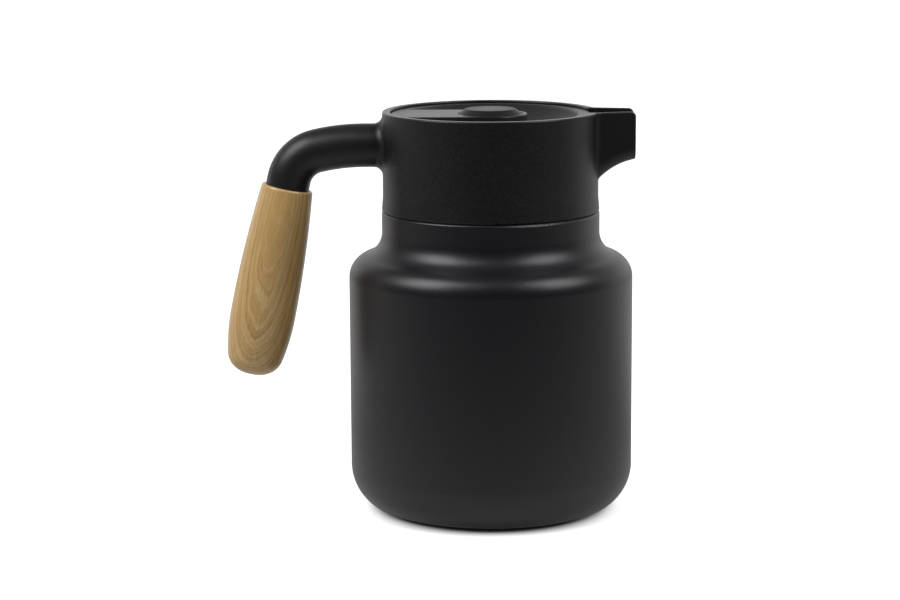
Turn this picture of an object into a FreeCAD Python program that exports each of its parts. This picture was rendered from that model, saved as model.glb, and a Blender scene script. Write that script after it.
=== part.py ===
import FreeCAD, Part
import math
import os

# Vacuum jug: a double-walled steel body, a moulded collar with the spout and the handle's arm,
# a turned wooden grip, and a turn-out stopper with a push-button valve.
# Millimetres, +Z up, origin on the floor at the body's axis, spout towards +X, handle towards -X.

# Steel body
body_radius = 65.0
shell_wall = 0.8
seam_height = 22.0
shoulder_start = 106.2
shoulder_round = 10.6
shoulder_step = 15.2
neck_round = 11.3
neck_straight = 9.7
neck_edge = 1.2
lip_gap = 1.3
lip_height = 12.5

# Base of the body and its pad
base_lift = 0.8
base_turn = 18.8
base_round = 21.7
base_blend = 5.0
foot_width = 7.4
pad_thickness = 2.0
pad_gap = 0.3
pad_edge = 0.6
dimple_radius = 6.0
dimple_depth = 2.0
vacuum_seal_thickness = 1.6

# Inner flask
vacuum_gap = 4.5
flask_wall = 0.6
flask_round = 16.0
flask_floor_gap = 4.2
getter_radius = 7.0
getter_thickness = 1.2
getter_offset = 25.0

# Collar
collar_reveal = 0.6
collar_flare = 0.5
collar_flare_height = 7.0
collar_edge = 0.9
rim_wall = 3.5
rim_edge = 0.6
thread_gap = 0.2
collar_gasket_thickness = 1.5
collar_gasket_gap = 0.2
shelf_thickness = 2.5

# Spout
spout_reach = 16.5
spout_root_half_width = 12.1
spout_tip_half_width = 8.5
spout_wall = 2.0
spout_blend = 3.5
keel_radius = 30.0
keel_tip_drop = 22.0
keel_tip_slope = 8.5
keel_corner = 5.5
tip_round = 2.3
channel_mouth_round = 1.5

# Handle arm
arm_diameter = 19.9
arm_top_drop = 5.55
arm_straight = 8.4
arm_root_round = 4.0
first_bend_radius = 96.0
first_bend_angle = 13.0
second_bend_radius = 17.1
second_bend_angle = 65.3
arm_end = 3.45

# Wooden grip and the tang inside it
grip_length = 88.3
grip_top_radius = 11.7
grip_top_edge = 1.0
grip_belly_radius = 14.95
grip_belly_share = 0.677
grip_end_radius = 10.9
grip_end_flat = 0.73
tang_radius = 4.0
tang_in_arm = 9.0
tang_in_grip = 60.0
tang_gap = 0.1

# Stopper cap
running_gap = 0.4
ring_sink = 1.15
ring_width = 4.1
ring_thickness = 3.2
ring_edge = 0.5
dish_depth = 9.5
cap_wall = 2.0
gallery_width = 5.0
tongue_wall = 2.0
tongue_edge = 0.6
pocket_depth = 12.7
pocket_floor = 1.6
port_half_width = 14.0
port_margin = 0.4
port_round = 1.8

# Stopper plug
seal_thickness = 2.0
seal_bore_gap = 0.2
flange_thickness = 2.0
chamber_height = 6.8
deck_thickness = 2.0
deck_gap = 0.1
plug_depth = 26.6
plug_wall = 2.0
plug_clearance = 2.0
plug_edge = 2.5
bead_clearance = 1.0
bead_height = 1.2
bead_gap = 0.2
spigot_depth = 3.0
spigot_wall = 1.6
upstand_height = 0.8
seat_radius = 13.0
insulation_gap = 0.2
spoke_count = 3
spoke_width = 2.0
spoke_depth = 6.0
spoke_drop = 6.0

# Button and valve
button_radius = 14.35
button_gap = 0.45
button_crown = 2.1
button_bevel = 2.95
button_edge = 0.5
button_wall = 1.6
button_roof = 2.6
button_travel = 5.0
travel_margin = 0.5
stem_radius = 3.0
stem_gap = 0.05
boss_wall = 2.2
o_ring_radius = 0.85
gland_gap = 0.05
gland_floor = 0.2
guide_depth = 3.0
valve_lap = 3.0
valve_seal_thickness = 2.5
valve_disc_thickness = 3.0
valve_disc_margin = 0.5
hub_radius = 8.5
hub_gap = 0.1
foot_thickness = 2.0
foot_lap = 2.0
spring_radius = 8.0
spring_wire = 1.1
spring_turns = 4
spring_seat_gap = 0.05
spring_top_gap = 0.3

# Room that a cutting solid reaches past the face it cuts, and how near counts as touching
overshoot = 10.0
touch = 0.01


def on_circle(centre, radius, degrees):
    """The point of a circle in the middle plane at an angle from +X."""
    turn = math.radians(degrees)
    return (centre[0] + radius * math.cos(turn), centre[1] + radius * math.sin(turn))


# Radii from the outside in
neck_radius = body_radius - shoulder_step
flask_inset = shell_wall + vacuum_gap
neck_bore = neck_radius - flask_inset - flask_wall
lip_radius = neck_radius - flask_inset + lip_gap + shell_wall
collar_radius = neck_radius - collar_reveal
collar_bore = collar_radius - rim_wall
stopper_radius = collar_bore - running_gap
dish_radius = stopper_radius - ring_width
skirt_radius = collar_bore - gallery_width
skirt_bore = skirt_radius - cap_wall
plug_radius = neck_bore - plug_clearance
bead_radius = neck_bore - bead_clearance
tube_radius = seat_radius + plug_wall
pocket_radius = button_radius + button_gap
tongue_radius = pocket_radius + tongue_wall
stem_bore = stem_radius + stem_gap
gland_radius = stem_bore + 2 * o_ring_radius + gland_gap

# Shoulder: a convex arc that runs on into a concave one
shoulder_turn = math.degrees(math.acos(1 - shoulder_step / (shoulder_round + neck_round)))
shoulder_centre = (body_radius - shoulder_round, shoulder_start)
neck_centre = on_circle(shoulder_centre, shoulder_round + neck_round, shoulder_turn)

# Corner of the base: a large arc from the wall and a small one into the flat underside
base_centre = (body_radius - base_round, base_turn)
blend_turn = math.degrees(math.asin((base_turn - base_lift - base_blend) / (base_round - base_blend)))
blend_centre = on_circle(base_centre, base_round - base_blend, -blend_turn)
recess_radius = blend_centre[0] - foot_width

# Heights from the floor up
dimple_top = pad_thickness + dimple_depth
flask_low = pad_thickness + shell_wall + flask_floor_gap
neck_top = neck_centre[1] + neck_straight
lip_top = neck_top + lip_height
flask_top = lip_top + flask_wall
shelf_low = flask_top + collar_gasket_thickness
shelf_top = shelf_low + shelf_thickness
seal_top = shelf_top + seal_thickness
flange_top = seal_top + flange_thickness
deck_low = flange_top + chamber_height
deck_top = deck_low + deck_thickness
pocket_low = deck_top + pocket_floor
ring_top = pocket_low + pocket_depth
rim_top = ring_top + ring_sink
plug_low = seal_top - plug_depth
button_top = ring_top + button_crown
button_under = button_top - button_roof
disc_top = plug_low - valve_seal_thickness
disc_low = disc_top - valve_disc_thickness
foot_low = disc_low - foot_thickness

# Spout: tip, taper in plan and the circle that its keel follows
tip_reach = collar_radius + spout_reach
spout_taper = (spout_root_half_width - spout_tip_half_width) / spout_reach
keel_tip = (tip_reach, rim_top - keel_tip_drop)
keel_centre = on_circle(keel_tip, keel_radius, keel_tip_slope - 90)

# Arm: a straight run, two bends one after the other and the joint with the grip
arm_radius = arm_diameter / 2
arm_height = rim_top - arm_top_drop - arm_radius
arm_lean = first_bend_angle + second_bend_angle
bend_start = (-collar_radius - arm_straight, arm_height)
first_centre = (bend_start[0], arm_height - first_bend_radius)
bend_change = on_circle(first_centre, first_bend_radius, 90 + first_bend_angle)
second_centre = on_circle(first_centre, first_bend_radius - second_bend_radius, 90 + first_bend_angle)
bend_finish = on_circle(second_centre, second_bend_radius, 90 + arm_lean)
joint = on_circle(bend_finish, arm_end, 180 + arm_lean)

axis = FreeCAD.Vector(0, 0, 1)
across = FreeCAD.Vector(0, 1, 0)


def at(x, z):
    """A point of the middle plane, through the spout and the handle."""
    return FreeCAD.Vector(x, 0, z)


def line(start, end):
    return Part.LineSegment(at(*start), at(*end)).toShape()


def arc(start, middle, end):
    return Part.Arc(at(*start), at(*middle), at(*end)).toShape()


def sweep(centre, radius, start, end):
    """The middle and the end of an arc about a centre, as a step of an outline."""
    return (on_circle(centre, radius, (start + end) / 2), on_circle(centre, radius, end))


def turned(start, *steps):
    """A solid of revolution: a step is a point for a line, or a middle and an end for an arc."""
    edges = []
    here = start
    for step in (*steps, start):
        if isinstance(step[0], tuple):
            middle, end = step
            edges.append(arc(here, middle, end))
        else:
            end = step
            edges.append(line(here, end))
        here = end
    return Part.Face(Part.Wire(edges)).revolve(at(0, 0), axis, 360)


def disc(radius, low, high):
    return Part.makeCylinder(radius, high - low, at(0, low))


def ring(inner, outer, low, high):
    return disc(outer, low, high).cut(disc(inner, low - overshoot, high + overshoot))


def middle_of(edge):
    return edge.valueAt((edge.FirstParameter + edge.LastParameter) / 2)


def level_circles(shape, height):
    """Whole round edges that lie at a height."""
    closed = [edge for edge in shape.Edges if len(edge.Vertexes) == 1]
    level = [edge for edge in closed if edge.BoundBox.ZLength < touch]
    return [edge for edge in level if abs(edge.BoundBox.ZMin - height) < touch]


def from_axis(point):
    return math.hypot(point.x, point.y)


def on_joint(shape):
    """Moves a shape built down from the origin to the arm's end, leaning as the grip does."""
    lean = FreeCAD.Rotation(across, 90 - arm_lean)
    return shape.transformed(FreeCAD.Placement(at(*joint), lean).toMatrix(), copy=True)


def vessel(inset, high, *foot):
    """The space inside the body's outline moved in by inset, standing on foot and ending at high."""
    shoulder = shoulder_round - inset
    neck = neck_round + inset
    return turned(
        *foot,
        (body_radius - inset, shoulder_start),
        sweep(shoulder_centre, shoulder, 0, shoulder_turn),
        sweep(neck_centre, neck, 180 + shoulder_turn, 180),
        (neck_radius - inset, high),
        (0, high),
    )


def outer_shell():
    """Drawn steel wall with shoulder and neck, stepped in under the collar to a lip."""
    inside = body_radius - shell_wall
    cut_low = seam_height - overshoot
    outside = vessel(0, neck_top, (0, seam_height), (body_radius, seam_height))
    outside = outside.makeFillet(neck_edge, level_circles(outside, neck_top))
    hollow = vessel(shell_wall, neck_top - shell_wall, (0, cut_low), (inside, cut_low))
    lip_hollow = disc(lip_radius - shell_wall, neck_top - overshoot, lip_top + overshoot)
    return outside.fuse(disc(lip_radius, neck_top - neck_edge, lip_top)).cut(hollow).cut(lip_hollow)


def base_bowl(inset, high):
    """The base's outline moved in by inset: dimple, pad recess, foot ring and rounded corner."""
    large = base_round - inset
    small = base_blend - inset
    return turned(
        (0, dimple_top + inset),
        (dimple_radius + inset, dimple_top + inset),
        (dimple_radius + inset, pad_thickness + inset),
        (recess_radius + inset, pad_thickness + inset),
        (recess_radius + inset, base_lift + inset),
        (blend_centre[0], base_lift + inset),
        sweep(blend_centre, small, -90, -blend_turn),
        sweep(base_centre, large, -blend_turn, 0),
        (body_radius - inset, high),
        (0, high),
    )


def base_cup():
    """Drawn steel base, welded to the shell at the seam."""
    return base_bowl(0, seam_height).cut(base_bowl(shell_wall, seam_height + overshoot))


def base_pad():
    """Silicone pad in the base's recess, the face that the jug stands on."""
    radius = recess_radius - pad_gap
    return turned(
        (0, 0),
        (radius - pad_edge, 0),
        (radius, pad_edge),
        (radius, pad_thickness),
        (0, pad_thickness),
    )


def vacuum_seal():
    """Solder bead that closes the evacuation dimple under the pad."""
    return disc(dimple_radius - pad_gap, dimple_top - vacuum_seal_thickness, dimple_top)


def flask_space(depth, high):
    """The flask's outline at a depth inside its own wall."""
    inset = flask_inset + depth
    low = flask_low + depth
    corner = flask_round - depth
    side = body_radius - inset
    corner_centre = (side - corner, low + corner)
    return vessel(inset, high, (0, low), (side - corner, low), sweep(corner_centre, corner, -90, 0))


def inner_flask():
    """Steel flask inside the vacuum, its mouth flanged over the shell's lip."""
    flange = disc(lip_radius, lip_top, flask_top)
    return flask_space(0, lip_top).fuse(flange).cut(flask_space(flask_wall, flask_top + overshoot))


def getter():
    """Pill under the flask that keeps the vacuum."""
    foot = at(getter_offset, flask_low - getter_thickness)
    return Part.makeCylinder(getter_radius, getter_thickness, foot)


def spout_half_width(reach):
    return spout_tip_half_width + (tip_reach - reach) * spout_taper


def spout_block(inset, start, end, high):
    """Tapered block with the keel's arc as its underside and rounded lower edges."""
    corners = []
    for reach, side in ((start, -1), (end, -1), (end, 1), (start, 1)):
        corners.append(FreeCAD.Vector(reach, side * (spout_half_width(reach) - inset), keel_centre[1]))
    plan = Part.Face(Part.makePolygon([*corners, corners[0]]))
    block = plan.extrude(axis * (high - keel_centre[1]))
    width = 2 * spout_half_width(start)
    keel_end = FreeCAD.Vector(keel_centre[0], -width, keel_centre[1])
    block = block.cut(Part.makeCylinder(keel_radius + inset, 2 * width, keel_end, across))
    long_edges = [edge for edge in block.Edges if edge.BoundBox.XLength > (end - start) / 2]
    lower_edges = [edge for edge in long_edges if edge.BoundBox.ZMax < high - overshoot / 2]
    return block.makeFillet(keel_corner - inset, lower_edges)


def arm():
    """Round bar along the arm's path, from inside the collar's wall to the grip's joint."""
    start = (-collar_bore, arm_height)
    change = 90 + first_bend_angle
    finish = 90 + arm_lean
    path = Part.Wire([
        line(start, bend_start),
        arc(bend_start, *sweep(first_centre, first_bend_radius, 90, change)),
        arc(bend_change, *sweep(second_centre, second_bend_radius, change, finish)),
        line(bend_finish, joint),
    ])
    section = Part.Wire(Part.makeCircle(arm_radius, at(*start), FreeCAD.Vector(-1, 0, 0)))
    return path.makePipeShell([section], True, False)


def collar_blank(high):
    """Outside of the collar's ring, flared a little at its foot."""
    foot = collar_radius + collar_flare
    edge_centre = (foot - collar_edge, neck_top + collar_edge)
    return turned(
        (0, neck_top),
        (foot - collar_edge, neck_top),
        sweep(edge_centre, collar_edge, -90, 0),
        (collar_radius, neck_top + collar_flare_height),
        (collar_radius, high),
        (0, high),
    )


def wall_edges(shape, side):
    """Edges where the spout (side 1) or the arm (side -1) leaves the collar's round wall."""
    chosen = []
    for edge in shape.Edges:
        point = middle_of(edge)
        on_wall = abs(from_axis(point) - collar_radius) < touch
        between = neck_top + collar_flare_height + touch < point.z < rim_top + overshoot - touch
        off_seam = abs(point.y) > touch or edge.BoundBox.YLength > touch
        if on_wall and between and off_seam and point.x * side > 0:
            chosen.append(edge)
    return chosen


def channel_mouth(high):
    """Space that rounds the two corners where the spout's channel opens through the bore."""
    slant = math.hypot(1, spout_taper)
    outward = FreeCAD.Vector(spout_taper, 1, 0) / slant
    onward = FreeCAD.Vector(1, -spout_taper, 0) / slant
    from_side = (spout_half_width(0) - spout_wall) / slant + channel_mouth_round
    from_middle = collar_bore + channel_mouth_round
    centre = outward * from_side + onward * math.sqrt(from_middle ** 2 - from_side ** 2)
    bore_way = centre / from_middle
    half_way = (outward + bore_way).normalize()
    on_side = centre - outward * channel_mouth_round
    on_bore = bore_way * collar_bore
    corners = (on_bore, at(on_bore.x, 0), at(on_side.x, 0), on_side)
    edges = [Part.Arc(on_side, centre - half_way * channel_mouth_round, on_bore).toShape()]
    edges += [Part.LineSegment(start, end).toShape() for start, end in zip(corners, corners[1:])]
    side = Part.Face(Part.Wire(edges)).extrude(axis * (high - shelf_top))
    side.translate(at(0, shelf_top))
    return side.fuse(side.mirror(at(0, 0), across))


def rim_edges(shape):
    """Inner and outer edge of the rim at the handle's side, which lead on round the spout."""
    level = [edge for edge in shape.Edges if edge.BoundBox.ZMin > rim_top - touch]
    return [edge for edge in level if middle_of(edge).x < 0]


def collar():
    """One moulding: the ring on the neck, its stopper shelf, the pouring spout and the handle's arm."""
    high = rim_top + overshoot
    root = collar_bore - ring_sink
    body = collar_blank(high).fuse(spout_block(0, root, tip_reach, high)).removeSplitter()
    body = body.makeFillet(spout_blend, wall_edges(body, 1))
    body = body.fuse(arm()).removeSplitter()
    body = body.makeFillet(arm_root_round, wall_edges(body, -1))
    body = body.cut(disc(2 * tip_reach, rim_top, rim_top + 2 * overshoot))
    front_edges = [edge for edge in body.Edges if edge.BoundBox.XMin > tip_reach - touch]
    tip_edges = [edge for edge in front_edges if edge.BoundBox.ZMin > rim_top - touch]
    body = body.makeFillet(tip_round, tip_edges)
    bore = turned(
        (0, neck_top - overshoot),
        (lip_radius + thread_gap, neck_top - overshoot),
        (lip_radius + thread_gap, shelf_low),
        (neck_bore, shelf_low),
        (neck_bore, shelf_top),
        (collar_bore, shelf_top),
        (collar_bore, high),
        (0, high),
    )
    channel = spout_block(spout_wall, skirt_radius, tip_reach + spout_wall, high)
    channel = channel.cut(disc(2 * tip_reach, keel_centre[1] - overshoot, shelf_top))
    body = body.cut(bore.fuse(channel).fuse(channel_mouth(high)))
    body = body.makeFillet(rim_edge, rim_edges(body))
    return body.cut(on_joint(Part.makeCylinder(tang_radius + tang_gap, tang_in_arm)))


def collar_gasket():
    """Flat ring that seals the collar's shelf on the flask's flange."""
    return ring(neck_bore + collar_gasket_gap, lip_radius - collar_gasket_gap, flask_top, shelf_low)


def handle_tang():
    """Steel rod set into the arm and the grip."""
    return on_joint(Part.makeCylinder(tang_radius, tang_in_arm + tang_in_grip, at(0, -tang_in_grip)))


def grip():
    """Turned wooden handle, swelling to its belly and rounded at the end."""
    belly_at = grip_belly_share * grip_length
    heel = grip_length - belly_at
    swell = grip_belly_radius - grip_top_radius
    taper = grip_belly_radius - grip_end_radius
    long_radius = (belly_at ** 2 + swell ** 2) / (2 * swell)
    heel_radius = (heel ** 2 + taper ** 2) / (2 * taper)
    long_centre = (grip_belly_radius - long_radius, -belly_at)
    heel_centre = (grip_belly_radius - heel_radius, -belly_at)
    top_turn = math.degrees(math.asin(belly_at / long_radius))
    end_turn = math.degrees(math.asin(heel / heel_radius))
    body = turned(
        (0, 0),
        on_circle(long_centre, long_radius, top_turn),
        sweep(long_centre, long_radius, top_turn, 0),
        sweep(heel_centre, heel_radius, 0, -end_turn),
        (0, -grip_length),
    )
    body = body.makeFillet(grip_top_edge, level_circles(body, 0))
    body = body.makeFillet(grip_end_radius - grip_end_flat, level_circles(body, -grip_length))
    tang_hole = Part.makeCylinder(tang_radius + tang_gap, tang_in_grip, at(0, -tang_in_grip))
    return on_joint(body.cut(tang_hole))


def stopper_gasket():
    """Silicone ring in the plug's groove, pressed on the collar's shelf."""
    return ring(plug_radius + seal_bore_gap, stopper_radius, shelf_top, seal_top)


def plug_spokes(low, high):
    """Spokes across the plug's tube that guide the valve's stem."""
    hub = disc(stem_bore + boss_wall, low, high)
    for number in range(spoke_count):
        corner = FreeCAD.Vector(0, -spoke_width / 2, low)
        spoke = Part.makeBox(tube_radius - plug_wall / 2, spoke_width, high - low, corner)
        spoke.rotate(at(0, 0), axis, 360 / spoke_count * (number + 0.5))
        hub = hub.fuse(spoke)
    return hub


def stopper_body():
    """Plug that fills the neck: a cup with the valve's seat, a tube up its middle and a gasket bead."""
    bead_top = shelf_top - bead_gap
    cavity = plug_radius - plug_wall
    edge_centre = (plug_radius - plug_edge, plug_low + plug_edge)
    cup = turned(
        (seat_radius, plug_low),
        (plug_radius - plug_edge, plug_low),
        sweep(edge_centre, plug_edge, -90, 0),
        (plug_radius, bead_top - 2 * bead_height),
        (bead_radius, bead_top - bead_height),
        (bead_radius, bead_top),
        (plug_radius, bead_top),
        (plug_radius, seal_top),
        (cavity, seal_top),
        (cavity, plug_low + plug_wall),
        (tube_radius, plug_low + plug_wall),
        (tube_radius, flange_top),
        (seat_radius, flange_top),
    )
    guide_top = seal_top - spoke_drop
    spokes = plug_spokes(guide_top - spoke_depth, guide_top)
    return cup.fuse(spokes).removeSplitter().cut(disc(stem_bore, plug_low, flange_top))


def stopper_insulation():
    """Foam in the plug's hollow wall."""
    outer = plug_radius - plug_wall - insulation_gap
    return ring(tube_radius + insulation_gap, outer, plug_low + plug_wall, seal_top - spigot_depth)


def plug_cover():
    """Lid of the plug: a flange over the gasket, a spigot into the cup and an upstand for the cap."""
    spigot = plug_radius - plug_wall - deck_gap
    upstand = skirt_bore - deck_gap
    return turned(
        (tube_radius + deck_gap, seal_top),
        (spigot - spigot_wall, seal_top),
        (spigot - spigot_wall, seal_top - spigot_depth),
        (spigot, seal_top - spigot_depth),
        (spigot, seal_top),
        (stopper_radius, seal_top),
        (stopper_radius, flange_top),
        (upstand, flange_top),
        (upstand, flange_top + upstand_height),
        (upstand - spigot_wall, flange_top + upstand_height),
        (upstand - spigot_wall, flange_top),
        (tube_radius + deck_gap, flange_top),
    )


def stopper_deck():
    """Ceiling of the pouring chamber, with the stem's guide and the gland of its ring seal."""
    boss = stem_bore + boss_wall
    return turned(
        (stem_bore, deck_low - guide_depth),
        (boss, deck_low - guide_depth),
        (boss, deck_low),
        (skirt_bore - deck_gap, deck_low),
        (skirt_bore - deck_gap, deck_top),
        (gland_radius, deck_top),
        (gland_radius, deck_low + gland_floor),
        (stem_bore, deck_low + gland_floor),
    )


def stem_o_ring():
    """Ring seal round the valve's stem."""
    middle = at(0, deck_low + gland_floor + o_ring_radius)
    return Part.makeTorus(stem_bore + o_ring_radius, o_ring_radius, middle)


def dish_radius_of_curve():
    return (dish_radius ** 2 + dish_depth ** 2) / (2 * dish_depth)


def dish_height(radius, depth):
    """Height of the dish, or of a surface at a depth below it, at a distance from the axis."""
    curve = dish_radius_of_curve()
    return ring_top - dish_depth + curve - math.sqrt((curve + depth) ** 2 - radius ** 2)


def cap_shell():
    """Flat ring, spherical dish and the skirt that stands on the plug."""
    ring_low = ring_top - ring_thickness
    edge_centre = (stopper_radius - ring_edge, ring_top - ring_edge)
    return turned(
        (0, ring_top - dish_depth),
        ((dish_radius / 2, dish_height(dish_radius / 2, 0)), (dish_radius, ring_top)),
        (stopper_radius - ring_edge, ring_top),
        sweep(edge_centre, ring_edge, 90, 0),
        (stopper_radius, ring_low),
        (skirt_radius, ring_low),
        (skirt_radius, flange_top),
        (skirt_bore, flange_top),
        (skirt_bore, dish_height(skirt_bore, cap_wall)),
        ((skirt_bore / 2, dish_height(skirt_bore / 2, cap_wall)), (0, dish_height(0, cap_wall))),
    )


def tongue_plan(half_width, reach, low, high):
    """Bar from the handle's side to the axis, with a round end about the axis."""
    bar = Part.makeBox(reach, 2 * half_width, high - low, FreeCAD.Vector(-reach, -half_width, low))
    return bar.fuse(disc(half_width, low, high)).common(disc(reach, low, high)).removeSplitter()


def stopper_cap():
    """Top moulding of the stopper: ring, dish, tongue with the button's pocket, and pouring port."""
    below_dish = turned(
        (0, deck_top - overshoot),
        (dish_radius, deck_top - overshoot),
        (dish_radius, dish_height(dish_radius, cap_wall)),
        ((dish_radius / 2, dish_height(dish_radius / 2, cap_wall)), (0, dish_height(0, cap_wall))),
    )
    tongue = tongue_plan(tongue_radius, dish_radius, deck_top, ring_top)
    top_edges = [edge for edge in tongue.Edges if edge.BoundBox.ZMin > ring_top - touch]
    free_edges = [edge for edge in top_edges if middle_of(edge).x > tongue_edge - dish_radius]
    tongue = tongue.makeFillet(tongue_edge, free_edges)
    tongue_roof = ring_top - cap_wall
    pocket_wall = disc(tongue_radius, deck_top, tongue_roof)
    core = tongue_plan(tongue_radius - tongue_wall, skirt_bore, deck_top, tongue_roof).cut(pocket_wall)
    pocket = disc(pocket_radius, pocket_low, ring_top + overshoot)
    stem_hole = disc(stem_bore + stem_gap, deck_top - overshoot, ring_top)
    port_low = flange_top + upstand_height + port_margin
    port_height = deck_low - port_margin - port_low
    port_corner = FreeCAD.Vector(skirt_bore - overshoot, -port_half_width, port_low)
    port = Part.makeBox(cap_wall + overshoot, 2 * port_half_width, port_height, port_corner)
    along = [edge for edge in port.Edges if edge.BoundBox.XLength > cap_wall]
    port = port.makeFillet(min(port_round, port_height / 2 - touch), along)
    body = cap_shell().fuse(tongue.cut(below_dish)).cut(core).fuse(pocket_wall).removeSplitter()
    return body.cut(pocket).cut(stem_hole).cut(port)


def spring_stations():
    """Centre line of the spring: a helix as pairs of tangent arcs, four pairs to a turn."""
    low = pocket_low + spring_seat_gap + spring_wire / 2
    high = button_under - spring_top_gap - spring_wire / 2
    quarters = 4 * spring_turns
    rise = (high - low) / quarters
    slope = math.atan2(rise, spring_radius * math.pi / 2)
    points = []
    for number in range(quarters + 1):
        turn = number * math.pi / 2
        outward = FreeCAD.Vector(math.cos(turn), math.sin(turn), 0)
        onward = FreeCAD.Vector(-math.sin(turn), math.cos(turn), 0)
        point = outward * spring_radius + at(0, low + number * rise)
        points.append((point, onward * math.cos(slope) + axis * math.sin(slope)))
    return points


def tangent_arc(start, corner, end):
    """Arc between two points whose tangents meet at a corner as far from one as from the other."""
    middle = (start + end) / 2
    half = (end - start).Length / 2
    drop = (corner - middle).Length
    sag = half * math.tan(math.atan2(drop, half) / 2)
    return Part.Arc(start, middle + (corner - middle) * (sag / drop), end)


def biarc(start, start_along, end, end_along):
    """Two tangent arcs that leave and reach the points in the given directions."""
    chord = end - start
    both = start_along + end_along
    squared = both.dot(both) - 4
    linear = chord.dot(both)
    reach = (linear - math.sqrt(linear ** 2 - squared * chord.dot(chord))) / squared
    first = start + start_along * reach
    second = end - end_along * reach
    meeting = (first + second) / 2
    return [tangent_arc(start, first, meeting), tangent_arc(meeting, second, end)]


def spring_gap(arcs):
    """Least gap between the spring's turns, measured on points of its centre line."""
    points = []
    per_arc = 6
    for piece in arcs:
        stride = (piece.LastParameter - piece.FirstParameter) / per_arc
        points += [piece.value(piece.FirstParameter + stride * step) for step in range(per_arc)]
    per_turn = len(points) // spring_turns
    apart = [
        (points[one] - points[two]).Length
        for one in range(len(points))
        for two in range(one + per_turn // 2, len(points))
    ]
    return min(apart) - spring_wire


def button_spring():
    """Coil spring that lifts the button and holds the valve shut."""
    stations = spring_stations()
    arcs = []
    for (start, start_along), (end, end_along) in zip(stations, stations[1:]):
        arcs += biarc(start, start_along, end, end_along)
    print("least gap between the spring's turns: %.2f mm" % spring_gap(arcs))
    path = Part.Wire([piece.toShape() for piece in arcs])
    section = Part.Wire(Part.makeCircle(spring_wire / 2, *stations[0]))
    return path.makePipeShell([section], True, False)


def push_button():
    """Bevelled button with a skirt in the pocket and a boss on the stem."""
    face = button_radius - button_bevel
    skirt_low = pocket_low + button_travel + 3 * travel_margin
    boss_low = pocket_low + button_travel + travel_margin
    boss = stem_bore + boss_wall
    body = turned(
        (0, button_top),
        (face, button_top),
        (button_radius, ring_top),
        (button_radius, skirt_low),
        (button_radius - button_wall, skirt_low),
        (button_radius - button_wall, button_under),
        (boss, button_under),
        (boss, boss_low),
        (stem_bore, boss_low),
        (stem_bore, button_under),
        (0, button_under),
    )
    return body.makeFillet(button_edge, level_circles(body, button_top))


def valve_stem():
    """Rod from the button down to the valve's disc, with a foot that carries the disc."""
    return turned(
        (0, foot_low),
        (stem_radius + foot_lap, foot_low),
        (stem_radius + foot_lap, disc_low),
        (stem_radius, disc_low),
        (stem_radius, button_under),
        (0, button_under),
    )


def valve_disc():
    """Disc under the plug, with a hub through its seal."""
    outer = seat_radius + valve_lap + valve_disc_margin
    return turned(
        (stem_bore, disc_low),
        (outer - valve_disc_thickness / 2, disc_low),
        (outer, disc_top - valve_disc_thickness / 2),
        (outer, disc_top),
        (hub_radius, disc_top),
        (hub_radius, plug_low),
        (stem_bore, plug_low),
    )


def valve_seal():
    """Silicone washer pressed up against the plug's seat."""
    return ring(hub_radius + hub_gap, seat_radius + valve_lap, disc_top, plug_low)


sub_parts = (
    outer_shell, base_cup, base_pad, vacuum_seal, inner_flask, getter,
    collar, collar_gasket, handle_tang, grip,
    stopper_gasket, stopper_body, stopper_insulation, plug_cover, stopper_deck, stem_o_ring, stopper_cap,
    button_spring, push_button, valve_stem, valve_disc, valve_seal,
)

os.makedirs("parts", exist_ok=True)
for make in sub_parts:
    make().exportStep("parts/%s.step" % make.__name__)
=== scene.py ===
import math

import bpy
from mathutils import Matrix, Vector


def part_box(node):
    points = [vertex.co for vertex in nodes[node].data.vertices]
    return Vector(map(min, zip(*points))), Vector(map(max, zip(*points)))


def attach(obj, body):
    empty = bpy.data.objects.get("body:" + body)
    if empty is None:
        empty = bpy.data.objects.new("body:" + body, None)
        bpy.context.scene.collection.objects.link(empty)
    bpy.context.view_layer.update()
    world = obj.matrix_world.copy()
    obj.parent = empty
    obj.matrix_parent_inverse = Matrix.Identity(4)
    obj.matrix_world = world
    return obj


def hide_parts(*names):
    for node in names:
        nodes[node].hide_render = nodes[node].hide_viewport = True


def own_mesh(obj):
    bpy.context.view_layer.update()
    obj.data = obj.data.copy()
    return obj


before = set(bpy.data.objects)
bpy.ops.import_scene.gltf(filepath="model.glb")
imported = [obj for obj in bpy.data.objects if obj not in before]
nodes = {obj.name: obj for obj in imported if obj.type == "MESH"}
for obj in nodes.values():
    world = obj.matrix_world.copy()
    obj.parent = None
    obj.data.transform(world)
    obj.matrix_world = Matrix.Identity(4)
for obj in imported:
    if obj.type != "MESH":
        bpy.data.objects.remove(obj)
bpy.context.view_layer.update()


# Steel body
# Two drawn stainless shells, the wall with its shoulder and neck and the rounded base, welded together
# low down, ground flush and powder coated in one go. The coat is black, fine and a little satin.

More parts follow.
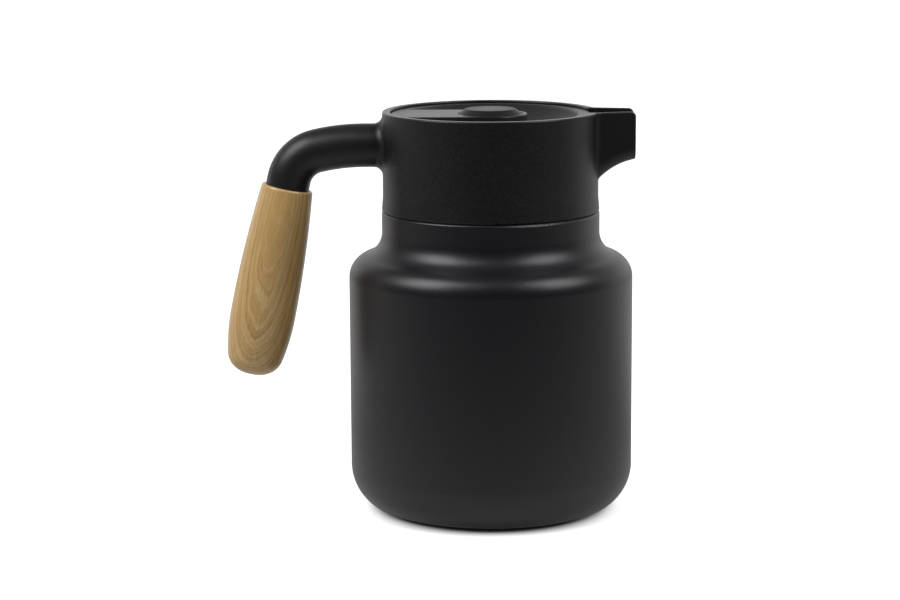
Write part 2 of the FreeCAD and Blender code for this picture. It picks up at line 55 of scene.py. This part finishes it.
class Finish:
    """One socket of a material: maths on it adds Math nodes, and add() makes any other node."""

    def __init__(self, tree, socket=None):
        self.tree = tree
        self.socket = socket

    def add(self, kind, settings, sockets, output=None):
        node = self.tree.nodes.new("ShaderNode" + kind)
        for name, value in settings.items():
            setattr(node, name, value)
        for name, value in sockets.items():
            target = self.named(node.inputs, name)
            if isinstance(value, Finish):
                self.tree.links.new(value.socket, target)
            else:
                target.default_value = value
        return Finish(self.tree, self.named(node.outputs, output) if output else node.outputs[0])

    def named(self, sockets, name):
        return next(socket for socket in sockets if name in (socket.identifier, socket.name))

    def maths(self, operation, *values):
        names = ("Value", "Value_001", "Value_002")
        return self.add("Math", {"operation": operation}, dict(zip(names, values)))

    def __add__(self, other):
        return self.maths("ADD", self, other)

    def __sub__(self, other):
        return self.maths("SUBTRACT", self, other)

    def __rsub__(self, other):
        return self.maths("SUBTRACT", other, self)

    def __mul__(self, other):
        return self.maths("MULTIPLY", self, other)

    def __truediv__(self, other):
        return self.maths("DIVIDE", self, other)

    __radd__ = __add__
    __rmul__ = __mul__

    def rise(self, low, high):
        """0 below low, 1 above high, and smooth between."""
        ends = {"Value": self, "From Min": low, "From Max": high}
        return self.add("MapRange", {"interpolation_type": "SMOOTHSTEP"}, ends)

    def mix(self, first, second):
        """A colour between first and second, by this value."""
        colours = {"Factor_Float": self, "A_Color": first, "B_Color": second}
        return self.add("Mix", {"data_type": "RGBA"}, colours, "Result_Color")

    def noise(self, size, detail=2.0, stretch=(1, 1, 1)):
        """Cloudy values from 0 to 1, in lumps of a size in metres, longer where stretch is above 1."""
        scales = tuple(1 / (size * along) for along in stretch)
        place = self.add("VectorMath", {"operation": "MULTIPLY"}, {"Vector": self, "Vector_001": scales})
        return self.add("TexNoise", {}, {"Vector": place, "Scale": 1.0, "Detail": detail})

    def part(self, letter):
        """One coordinate of this vector."""
        return self.add("SeparateXYZ", {}, {"Vector": self}, letter)

    def from_axis(self):
        """Distance of this point from the jug's axis."""
        flat = self.add("VectorMath", {"operation": "MULTIPLY"}, {"Vector": self, "Vector_001": (1, 1, 0)})
        return self.add("VectorMath", {"operation": "LENGTH"}, {"Vector": flat}, "Value")


def new_material(name, **fixed):
    """A material with the sockets that are the same all over set, and its Object coordinates."""
    material = bpy.data.materials.new(name)
    material.use_nodes = True
    shader = material.node_tree.nodes["Principled BSDF"]
    for socket, value in fixed.items():
        shader.inputs[socket.replace("_", " ").title().replace("Ior", "IOR")].default_value = value
    return material, Finish(material.node_tree).add("TexCoord", {}, {}, "Object")


def dress(material, colour, roughness, relief, depth):
    """Feeds a material's shader: colour, roughness, and a relief from 0 to 1 over a depth in metres."""
    tree = material.node_tree
    shader = tree.nodes["Principled BSDF"]
    normal = relief.add("Bump", {}, {"Height": relief, "Strength": 1.0, "Distance": depth})
    tree.links.new(colour.socket, shader.inputs["Base Color"])
    tree.links.new(roughness.socket, shader.inputs["Roughness"])
    tree.links.new(normal.socket, shader.inputs["Normal"])


def wear(material, *names):
    """Gives CAD nodes their material."""
    for name in names:
        nodes[name].data.materials.clear()
        nodes[name].data.materials.append(material)


powder_coat, point = new_material("black_powder_coat", specular_ior_level=0.5)
peel = point.noise(0.0007, 2.0)
cloud = point.noise(0.035, 3.0)
speck = point.noise(0.00028, 1.0).rise(0.60, 0.72)
foot_rub = 1 - point.part("Z").rise(0.0009, 0.0022)
coat_colour = cloud.mix((0.0046, 0.0045, 0.0070, 1), (0.0060, 0.0059, 0.0087, 1))
coat_colour = (speck * 0.25).mix(coat_colour, (0.020, 0.020, 0.021, 1))
coat_colour = (foot_rub * 0.5).mix(coat_colour, (0.045, 0.044, 0.043, 1))
dress(powder_coat, coat_colour, 0.34 + cloud * 0.05 + peel * 0.05, peel, 0.000012)
wear(powder_coat, "outer_shell", "base_cup")


# Resting pad
# A round pad of grey silicone glued into the recess of the base. Fine rings are moulded into its
# underside, so that the jug doesn't slide.

def start_piece(name):
    """Takes the primitive that was just added as a piece of that name, and opens it in edit mode."""
    piece = bpy.context.object
    piece.name = name
    piece.data.name = name
    bpy.ops.object.transform_apply(location=True, rotation=True, scale=True)
    bpy.ops.object.mode_set(mode="EDIT")
    return piece


def pick_faces(piece, wanted):
    """Selects the faces whose centre and normal are wanted, in edit mode."""
    bpy.ops.mesh.select_mode(type="FACE")
    bpy.ops.mesh.select_all(action="DESELECT")
    bpy.ops.object.mode_set(mode="OBJECT")
    for face in piece.data.polygons:
        face.select = wanted(face.center, face.normal)
    bpy.ops.object.mode_set(mode="EDIT")


def close_piece(piece, material, body, node, smooth=35):
    """Merges and turns the faces outwards, smooths, paints, and puts the piece in its node's place."""
    bpy.ops.mesh.select_all(action="SELECT")
    bpy.ops.mesh.remove_doubles(threshold=0.000001)
    bpy.ops.mesh.normals_make_consistent(inside=False)
    bpy.ops.object.mode_set(mode="OBJECT")
    bpy.ops.object.shade_smooth_by_angle(angle=math.radians(smooth))
    piece.data.materials.append(material)
    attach(piece, body)
    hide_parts(node)


grey_silicone, point = new_material("grey_silicone", specular_ior_level=0.35)
skin = point.noise(0.0004, 2.0)
dust = point.noise(0.009, 3.0).rise(0.55, 0.8)
silicone_colour = dust.mix((0.085, 0.085, 0.087, 1), (0.12, 0.118, 0.114, 1))
dress(grey_silicone, silicone_colour, 0.62 + skin * 0.1 + dust * 0.1, skin, 0.000008)

pad_low, pad_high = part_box("base_pad")
pad_radius = pad_high.x
pad_depth = pad_high.z - pad_low.z
bpy.ops.object.select_all(action="DESELECT")
bpy.ops.mesh.primitive_cylinder_add(
    vertices=180, radius=pad_radius, depth=pad_depth, location=(0, 0, pad_depth / 2), end_fill_type="NGON"
)
rest_pad = start_piece("rest_pad")
pick_faces(rest_pad, lambda centre, normal: normal.z < -0.9)
bpy.ops.mesh.bevel(offset=0.0006, segments=3, affect="EDGES")
groove_count = 7
groove_depth = 0.0006
groove_width = 0.0008
groove_side = 0.0003
land_width = 0.0034
edge_land = 0.0022
for groove in range(groove_count):
    pick_faces(rest_pad, lambda centre, normal: normal.z < -0.9 and centre.length < 0.001)
    bpy.ops.mesh.inset(thickness=land_width if groove else edge_land, depth=0)
    bpy.ops.mesh.inset(thickness=groove_side, depth=-groove_depth)
    bpy.ops.mesh.inset(thickness=groove_width, depth=0)
    bpy.ops.mesh.inset(thickness=groove_side, depth=groove_depth)
close_piece(rest_pad, grey_silicone, "jug", "base_pad")


# Vacuum seal and getter
# A bead of solder closes the hole through which the air was drawn out, under the pad. A pill of
# getter metal on the flask's floor takes up what gas is left.

def metal(name, light, dark, smooth, rough, line, stretch):
    """Bare metal with fine lines: two colours, two roughnesses, and the lines' width and stretch."""
    made, here = new_material(name, metallic=1.0)
    lines = here.noise(line, 3.0, stretch)
    stain = here.noise(0.018, 3.0)
    shade = (lines * 0.6 + stain * 0.4).mix(dark, light)
    dress(made, shade, smooth + lines * (rough - smooth), lines, 0.000004)
    return made


solder = metal("dull_solder", (0.44, 0.44, 0.45, 1), (0.30, 0.30, 0.31, 1), 0.35, 0.6, 0.0012, (1, 1, 1))
getter_metal = metal(
    "getter_metal", (0.33, 0.33, 0.34, 1), (0.24, 0.24, 0.25, 1), 0.45, 0.7, 0.0006, (1, 1, 1)
)
wear(solder, "vacuum_seal")
wear(getter_metal, "getter")


# Inner flask
# Stainless steel drawn and spun to the bottle's inner form, with its mouth flanged over the outer lip.
# The spinning leaves fine rings round the axis.

flask_steel = metal(
    "spun_steel", (0.66, 0.65, 0.63, 1), (0.50, 0.49, 0.47, 1), 0.20, 0.38, 0.0002, (60, 60, 1)
)
wear(flask_steel, "inner_flask")


# Neck gasket
# A flat silicone ring, cut from sheet, between the collar's shelf and the flask's flange. It is pressed
# when the collar is screwed down, and keeps the drink out of the neck.

def silicone(name, colour, deep):
    """Translucent silicone with a faint bloom."""
    made, here = new_material(name, subsurface_weight=0.35, specular_ior_level=0.4)
    bloom = here.noise(0.006, 3.0)
    pores = here.noise(0.0003, 2.0)
    shader = made.node_tree.nodes["Principled BSDF"]
    shader.inputs["Subsurface Radius"].default_value = (0.002, 0.0018, 0.0015)
    dress(made, bloom.mix(colour, deep), 0.38 + bloom * 0.16, pores, 0.000005)
    return made


def spin_section(name, inner, outer, low, high, corner):
    """A ring spun round the axis from an upright section with rounded corners, left in edit mode."""
    bpy.ops.object.select_all(action="DESELECT")
    bpy.ops.mesh.primitive_plane_add(
        size=1, location=((inner + outer) / 2, 0, (low + high) / 2), rotation=(math.pi / 2, 0, 0)
    )
    bpy.context.object.scale = (outer - inner, high - low, 1)
    ring = start_piece(name)
    bpy.ops.mesh.select_all(action="SELECT")
    bpy.ops.mesh.bevel(offset=corner, segments=4, affect="VERTICES")
    return ring


def spin_round(steps=144):
    """Turns the selected section into a closed ring about the jug's axis."""
    bpy.ops.mesh.select_all(action="SELECT")
    bpy.ops.mesh.delete(type="ONLY_FACE")
    bpy.ops.mesh.select_all(action="SELECT")
    bpy.ops.mesh.spin(steps=steps, angle=2 * math.pi, center=(0, 0, 0), axis=(0, 0, 1))


def ring_edges(node):
    """Outer radius, lowest and highest point of a round CAD node."""
    lowest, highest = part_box(node)
    return highest.x, lowest.z, highest.z


clear_silicone = silicone("clear_silicone", (0.60, 0.60, 0.58, 1), (0.68, 0.68, 0.65, 1))
gasket_outer, gasket_low, gasket_high = ring_edges("collar_gasket")
gasket_width = 0.0023
neck_gasket = spin_section(
    "neck_gasket", gasket_outer - gasket_width, gasket_outer, gasket_low, gasket_high, 0.0004
)
spin_round()
close_piece(neck_gasket, clear_silicone, "jug", "collar_gasket")


# Collar
# One black moulding screwed down on the neck: the ring with the stopper's shelf, the open spout and the
# handle's arm. The ring has a fine spark texture from the mould, the spout and the arm are smoother.

collar_radius = 0.0492
rim_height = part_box("collar")[1].z

moulded_black, point = new_material("black_moulded_plastic", specular_ior_level=0.42)
height = point.part("Z")
outside = point.from_axis().rise(collar_radius + 0.0006, collar_radius + 0.0030)
spark = point.noise(0.00075, 2.0)
fine_spark = point.noise(0.00026, 2.0)
handled = point.noise(0.022, 3.0)
rim_polish = height.rise(rim_height - 0.0007, rim_height - 0.0001)
texture = (1 - outside * 0.4) * (1 - rim_polish * 0.8)
grain = point.noise(0.00062, 2.0).rise(0.41, 0.59)
grain = grain * (1 - outside * 0.8) + outside * 0.4
# Painted glint: lighter specks in the colour where the spark texture would catch the light.
painted_glint = fine_spark.rise(0.55, 0.75) * texture
mould_colour = (grain * 0.8 + handled * 0.2).mix((0.0, 0.0, 0.0008, 1), (0.0104, 0.0104, 0.0130, 1))
mould_colour = (painted_glint * 0.6).mix(mould_colour, (0.020, 0.020, 0.022, 1))
# Painted sheen: the arm's colour is lifted a shade above the ring's, standing in for the brighter sheen the
# arm catches.
painted_arm_sheen = (0 - point.part("X")).rise(collar_radius + 0.001, collar_radius + 0.006)
mould_colour = (painted_arm_sheen * 0.7).mix(mould_colour, (0.0135, 0.0135, 0.0155, 1))
mould_rough = 0.41 - outside * 0.03 - rim_polish * 0.12 + handled * 0.05
dress(moulded_black, mould_colour, mould_rough, (spark * 0.6 + fine_spark * 0.4) * texture, 0.000085)
wear(moulded_black, "collar")


# Tang
# A plain steel rod, cut and turned to length. One end is moulded into the arm, the other is glued into
# the bored grip.

tang_steel = metal("tang_steel", (0.52, 0.52, 0.52, 1), (0.40, 0.40, 0.40, 1), 0.3, 0.5, 0.0003, (1, 1, 12))
wear(tang_steel, "handle_tang")


# Grip
# Light beech turned on a lathe, sanded and oiled. The board was flat sawn, so that the growth rings run
# lengthwise at the top and close in nested arches over the lower half, and the end grain shows below.

grip_joint = (-0.0928, 0, 0.1475)
grip_lean = math.radians(11.7)

beech, point = new_material("beech_wood", specular_ior_level=0.5, coat_weight=0.35, coat_roughness=0.28)
turned = {"Vector": point, "Location": grip_joint, "Rotation": (0, grip_lean, 0)}
point = point.add("Mapping", {"vector_type": "TEXTURE"}, turned)
across = point.part("X")
through = point.part("Y")
along = point.part("Z")
sway = point.noise(0.030, 2.0, (1, 1, 2.2)) - 0.5
ripple = point.noise(0.0032, 3.0, (1, 1, 5)) - 0.5
pith_across = across - 0.0015 + sway * 0.006
pith_depth = 0.045 - through + along * 0.075 + sway * 0.0026 + ripple * 0.0011
pith_squared = pith_across * pith_across + pith_depth * pith_depth
years = pith_squared.maths("SQRT", pith_squared)
along_years = {"noise_dimensions": "1D"}
slow_years = years.add("TexNoise", along_years, {"W": years / 0.0012, "Scale": 1.0, "Detail": 1.0})
fast_years = years.add("TexNoise", along_years, {"W": years / 0.00032, "Scale": 1.0, "Detail": 1.0})
fibre = point.noise(0.00055, 2.0, (1, 1, 26))
fleck = point.noise(0.0005, 1.0, (1, 1, 7)).rise(0.66, 0.76)
patches = point.noise(0.016, 2.0, (1, 1, 2)).rise(0.30, 0.70)
growth = fast_years.rise(0.42, 0.66) * (0.45 + patches * 0.55)
wood_colour = slow_years.rise(0.30, 0.70).mix((0.495, 0.286, 0.092, 1), (0.620, 0.397, 0.146, 1))
wood_colour = (growth * 0.76).mix(wood_colour, (0.745, 0.530, 0.250, 1))
wood_colour = (fibre.rise(0.50, 0.68) * 0.28).mix(wood_colour, (0.76, 0.540, 0.260, 1))
wood_colour = ((1 - fibre.rise(0.32, 0.48)) * 0.20).mix(wood_colour, (0.37, 0.205, 0.065, 1))
wood_colour = (fleck * 0.22).mix(wood_colour, (0.30, 0.175, 0.07, 1))
dress(beech, wood_colour, 0.34 - growth * 0.04 + fibre * 0.10, fibre * 0.7 + growth * 0.3, 0.000016)
wear(beech, "grip")


# Stopper gasket
# A ring of moulded silicone with two lips, stretched into the plug's groove. The stopper presses it on the
# collar's shelf.

seal_outer, seal_low, seal_high = ring_edges("stopper_gasket")
seal_width = 0.0031
lip_gap = 0.0005
plug_seal = spin_section("plug_seal", seal_outer - seal_width, seal_outer, seal_low, seal_high, 0.0003)
bpy.ops.mesh.select_all(action="SELECT")
for cut_height in (0.36, 0.5, 0.64):
    bpy.ops.mesh.bisect(
        plane_co=(0, 0, seal_low + (seal_high - seal_low) * cut_height), plane_no=(0, 0, 1)
    )
    bpy.ops.mesh.select_all(action="SELECT")
bpy.ops.mesh.select_mode(type="VERT")
bpy.ops.mesh.select_all(action="DESELECT")
bpy.ops.object.mode_set(mode="OBJECT")
for corner in plug_seal.data.vertices:
    middle = abs(corner.co.z - (seal_low + seal_high) / 2) < 0.0001
    corner.select = middle and corner.co.x > seal_outer - 0.0001
bpy.ops.object.mode_set(mode="EDIT")
bpy.ops.transform.translate(value=(-lip_gap * 2, 0, 0))
spin_round()
close_piece(plug_seal, clear_silicone, "stopper_seal", "stopper_gasket")


# Plug
# The stopper's lower half: a moulded cup with the valve's seat and a tube up its middle, closed by a lid
# and a deck above. Smooth satin black, with faint flow marks from the mould.

plug_black, point = new_material("black_plug_plastic")
flow = point.noise(0.012, 3.0, (1, 1, 2))
skin = point.noise(0.0004, 2.0)
plug_colour = flow.mix((0.0100, 0.0100, 0.0105, 1), (0.0140, 0.0140, 0.0146, 1))
dress(plug_black, plug_colour, 0.33 + flow * 0.10 + skin * 0.04, skin, 0.000006)
wear(plug_black, "stopper_body", "plug_cover", "stopper_deck", "valve_disc")


# Plug foam
# A ring of light cream foam that fills the plug's hollow wall. It is laid in before the lid is welded on,
# and keeps the heat in.

foam, point = new_material("cream_foam", specular_ior_level=0.2)
cells = point.add("TexVoronoi", {"feature": "F1"}, {"Vector": point, "Scale": 900.0})
blotch = point.noise(0.008, 2.0)
foam_colour = cells.rise(0.1, 0.7).mix((0.60, 0.57, 0.49, 1), (0.80, 0.77, 0.68, 1))
foam_colour = (blotch * 0.3).mix(foam_colour, (0.72, 0.66, 0.52, 1))
dress(foam, foam_colour, 0.85 + cells * 0.1, cells.rise(0.0, 0.6), 0.00015)
foam_outer, foam_low, foam_high = ring_edges("stopper_insulation")
foam_inner = 0.0152
plug_foam = spin_section("plug_foam", foam_inner, foam_outer, foam_low, foam_high, 0.0012)
spin_round(96)
close_piece(plug_foam, foam, "stopper", "stopper_insulation")


# Stem ring
# A moulded black rubber ring that grips the valve's stem. It sits in the deck's gland with a film of
# grease.

seal_rubber, point = new_material("seal_rubber", specular_ior_level=0.35)
skin = point.noise(0.0003, 2.0)
grease = point.noise(0.002, 2.0)
rubber_colour = grease.mix((0.018, 0.018, 0.018, 1), (0.030, 0.030, 0.030, 1))
dress(seal_rubber, rubber_colour, 0.45 + grease * 0.2, skin, 0.000006)
o_ring_outer, o_ring_low, o_ring_high = ring_edges("stem_o_ring")
o_ring_wire = o_ring_high - o_ring_low
bpy.ops.object.select_all(action="DESELECT")
bpy.ops.mesh.primitive_circle_add(
    vertices=20,
    radius=o_ring_wire / 2,
    location=(o_ring_outer - o_ring_wire / 2, 0, (o_ring_low + o_ring_high) / 2),
    rotation=(math.pi / 2, 0, 0),
)
stem_ring = start_piece("stem_ring")
bpy.ops.mesh.select_all(action="SELECT")
bpy.ops.mesh.spin(steps=72, angle=2 * math.pi, center=(0, 0, 0), axis=(0, 0, 1))
close_piece(stem_ring, seal_rubber, "stopper", "stem_o_ring")


# Stopper cap
# The moulding that shows in the rim: a flat ring round a shallow dish, and the raised tongue that a hand
# turns. The ring and the tongue are fine and satin, the dish is a little more matt.

ring_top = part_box("stopper_cap")[1].z
dish_rim = 0.0412

cap_black, point = new_material("black_cap_plastic", specular_ior_level=0.4)
height = point.part("Z")
top_faces = height.rise(ring_top - 0.0012, ring_top - 0.0002)
reach = point.from_axis()
in_dish = (1 - reach.rise(dish_rim - 0.0003, dish_rim + 0.0003)) * (1 - top_faces)
touched = point.noise(0.011, 3.0)
spark = point.noise(0.0005, 2.0)
fine_spark = point.noise(0.0002, 2.0)
cap_colour = touched.mix((0.0060, 0.0060, 0.0066, 1), (0.0085, 0.0085, 0.0091, 1))
cap_colour = (spark.rise(0.6, 0.75) * 0.4).mix(cap_colour, (0.022, 0.022, 0.023, 1))
cap_rough = 0.31 + in_dish * 0.24 + touched * 0.06
cap_relief = (spark * 0.5 + fine_spark * 0.5) * (0.15 + in_dish * 0.70)
dress(cap_black, cap_colour, cap_rough, cap_relief, 0.000120)
wear(cap_black, "stopper_cap")


# Button spring
# Bright spring wire wound on a mandrel, loose in the button's pocket. It flattens as the button goes
# down and lifts it again.

spring_steel = metal(
    "spring_wire", (0.62, 0.62, 0.62, 1), (0.46, 0.46, 0.46, 1), 0.18, 0.34, 0.0002, (1, 1, 1)
)
coil_low, coil_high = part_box("button_spring")
wire = 0.0011
coil_turns = 4
coil_radius = 0.0080
coil_pitch = (coil_high.z - coil_low.z - wire) / coil_turns
bpy.ops.object.select_all(action="DESELECT")
bpy.ops.mesh.primitive_circle_add(
    vertices=16,
    radius=wire / 2,
    location=(coil_radius, 0, coil_low.z + wire / 2),
    rotation=(math.pi / 2, 0, 0),
)
button_coil = start_piece("button_coil")
bpy.ops.object.mode_set(mode="OBJECT")
winding = button_coil.modifiers.new("winding", "SCREW")
winding.axis = "Z"
winding.angle = 2 * math.pi
winding.screw_offset = coil_pitch
winding.iterations = coil_turns
winding.steps = 48
winding.render_steps = 48
bpy.ops.object.modifier_apply(modifier="winding")
bpy.ops.object.mode_set(mode="EDIT")
bpy.ops.mesh.select_mode(type="EDGE")
bpy.ops.mesh.select_all(action="DESELECT")
bpy.ops.mesh.select_non_manifold(extend=False, use_boundary=True)
bpy.ops.mesh.edge_face_add()
close_piece(button_coil, spring_steel, "stopper", "button_spring", 60)
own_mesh(button_coil)


# Push button
# A moulded disc of smooth satin plastic with a bevelled edge, pressed on the valve's stem. The thumb
# polishes its middle.

button_satin, point = new_material("satin_button_plastic", specular_ior_level=0.4)
thumbed = 1 - point.from_axis().rise(0.004, 0.011)
smear = point.noise(0.006, 3.0)
skin = point.noise(0.0003, 2.0)
button_colour = smear.mix((0.0050, 0.0052, 0.0064, 1), (0.0072, 0.0074, 0.0088, 1))
dress(button_satin, button_colour, 0.41 - thumbed * 0.04 + smear * 0.08, skin, 0.000006)
wear(button_satin, "push_button")


# Valve
# A turned steel stem carries the moulded disc under the plug. A silicone washer on the disc shuts the
# tube until the button is pressed.

stem_steel = metal(
    "stem_steel", (0.64, 0.63, 0.61, 1), (0.52, 0.51, 0.50, 1), 0.16, 0.32, 0.0002, (14, 14, 1)
)
wear(stem_steel, "valve_stem")
washer_outer, washer_low, washer_high = ring_edges("valve_seal")
washer_inner = 0.0086
valve_washer = spin_section("valve_washer", washer_inner, washer_outer, washer_low, washer_high, 0.0007)
spin_round(96)
close_piece(valve_washer, clear_silicone, "button", "valve_seal")


# Studio
# A pale floor that runs on into a white backdrop, a softbox at each side, a weak one overhead,
# and a camera at the photograph's height, distance and lens. Light is painted into the floor: a painted
# shadow round the base, painted shade darkening it towards the front, and a painted reflection beside
# the base that only mirror rays see.

bpy.ops.object.select_all(action="DESELECT")
floor_size = 8
bpy.ops.mesh.primitive_plane_add(size=floor_size)
floor = bpy.context.object
floor.name = "floor"
floor_with_painted_shade = bpy.data.materials.new("floor_with_painted_shade")
floor_with_painted_shade.use_nodes = True
tree = floor_with_painted_shade.node_tree
shader = tree.nodes["Principled BSDF"]
shader.inputs["Roughness"].default_value = 0.9
shader.inputs["Specular IOR Level"].default_value = 0.0
shader.inputs["Emission Strength"].default_value = 1.0
rays = Finish(tree).add("LightPath", {}, {}, "Is Camera Ray")
mirrored = Finish(tree, rays.socket.node.outputs["Is Glossy Ray"])
seen_through = Finish(tree, rays.socket.node.outputs["Is Transmission Ray"])
floor_point = Finish(tree).add("TexCoord", {}, {}, "Object")
floor_reach = floor_point.from_axis()


def reach_from(place):
    """Distance of a point on the floor from a place beside the jug's axis."""
    moved = {"Vector": floor_point, "Vector_001": place}
    return floor_point.add("VectorMath", {"operation": "SUBTRACT"}, moved).from_axis()


# Painted shadow: the floor's white glow and its colour fall away in a soft ring round the base, centred a
# little in front, with a fainter halo, so the contact shadow is painted in.
contact_shadow_middle = (-0.0005, -0.0105, 0)
shadow_halo_middle = (0.0060, -0.0105, 0)
shadow_halo_share = 0.24
out_of_contact_shadow = reach_from(contact_shadow_middle).rise(0.0455, 0.0605)
out_of_shadow_halo = reach_from(shadow_halo_middle).rise(0.050, 0.105)
out_of_painted_shadow = out_of_contact_shadow * (1 - shadow_halo_share) + out_of_shadow_halo * shadow_halo_share
aside = floor_point.part("X")
aside = aside.maths("ABSOLUTE", aside).rise(0.03, 0.09)
# Painted reflection: a glow on the floor beside the base that only mirror rays see, stronger to the sides
# and gone by 19 cm from the axis.
painted_reflection_beside_base = (0.16 + aside * 0.14) * (1 - floor_reach.rise(0.120, 0.190))
towards_back = floor_point.part("Y").rise(0.05, 0.40)
# Painted shade: the floor's colour turns dark grey towards the front.
painted_dark_front = (0 - floor_point.part("Y")).rise(0.04, 0.60)
# The camera sees the floor white, except where the painted shadow round the base cuts into it.
shown = rays.maths("MINIMUM", rays + seen_through, 1.0) * out_of_painted_shadow
# Mirror rays see the floor glow behind the jug, as the backdrop, and the painted reflection beside the
# base.
backdrop_and_painted_reflection = mirrored * (towards_back * 0.45 + painted_reflection_beside_base)
# The floor's glow carries both the painted shadow and the painted reflection.
glow_painted_shadow_reflection = shown.maths("MAXIMUM", shown, backdrop_and_painted_reflection)
tree.links.new(glow_painted_shadow_reflection.mix((0, 0, 0, 1), (1, 1, 1, 1)).socket, shader.inputs["Emission Color"])
# Painted shade in the floor's colour: a touch darker under the base and dark grey towards the front.
floor_colour_painted_shade = out_of_painted_shadow.mix((0.52, 0.52, 0.52, 1), (0.55, 0.55, 0.55, 1))
floor_colour_painted_shade = painted_dark_front.mix(floor_colour_painted_shade, (0.17, 0.17, 0.17, 1))
tree.links.new(floor_colour_painted_shade.socket, shader.inputs["Base Color"])
floor.data.materials.append(floor_with_painted_shade)

world = bpy.data.worlds.new("studio")
bpy.context.scene.world = world
world.use_nodes = True
tree = world.node_tree
background = tree.nodes["Background"]
rays = Finish(tree).add("LightPath", {}, {}, "Is Camera Ray")
seen_through = Finish(tree, rays.socket.node.outputs["Is Transmission Ray"])
look = Finish(tree).add("TexCoord", {}, {}, "Generated")
behind = look.part("Y").rise(-0.09, 0.72)
overhead = look.part("Z").rise(0.24, 0.72)
room = 0.02 + behind * (0.98 - overhead * 0.80)
shown = rays.maths("MINIMUM", rays + seen_through, 1.0)
lit = shown + (1 - shown) * room
tree.links.new(lit.mix((0, 0, 0, 1), (1, 1, 1, 1)).socket, background.inputs["Color"])


def softbox(name, place, aim, width, height, power):
    """A rectangular lamp at a place, turned to look at a point."""
    lamp = bpy.data.lights.new(name, "AREA")
    lamp.shape = "RECTANGLE"
    lamp.size = width
    lamp.size_y = height
    lamp.energy = power
    holder = bpy.data.objects.new(name, lamp)
    bpy.context.scene.collection.objects.link(holder)
    holder.location = place
    way = Vector(aim) - holder.location
    holder.rotation_euler = way.to_track_quat("-Z", "Y").to_euler()


jug_middle = (0, 0, 0.09)
side_box = 0.7
softbox("softbox_left", (-0.83, -0.34, 1.00), jug_middle, side_box, side_box, 10.7)
softbox("softbox_right", (0.83, -0.34, 1.00), jug_middle, side_box, side_box, 8.7)
softbox("softbox_over", (-0.38, -0.48, 1.05), jug_middle, 0.8, 0.3, 1.1)

lens = bpy.data.cameras.new("camera")
lens.sensor_width = 36.0
lens.lens = 102.6
lens.clip_start = 0.01
camera = bpy.data.objects.new("camera", lens)
bpy.context.scene.collection.objects.link(camera)
camera_place = (-0.0188, -1.1625, 0.305)
camera_down = 10.2535
camera_roll = -0.31
camera.matrix_world = (
    Matrix.Translation(camera_place)
    @ Matrix.Rotation(math.radians(90 - camera_down), 4, "X")
    @ Matrix.Rotation(math.radians(camera_roll), 4, "Z")
)
bpy.context.scene.camera = camera

bpy.context.scene.view_settings.view_transform = "Standard"
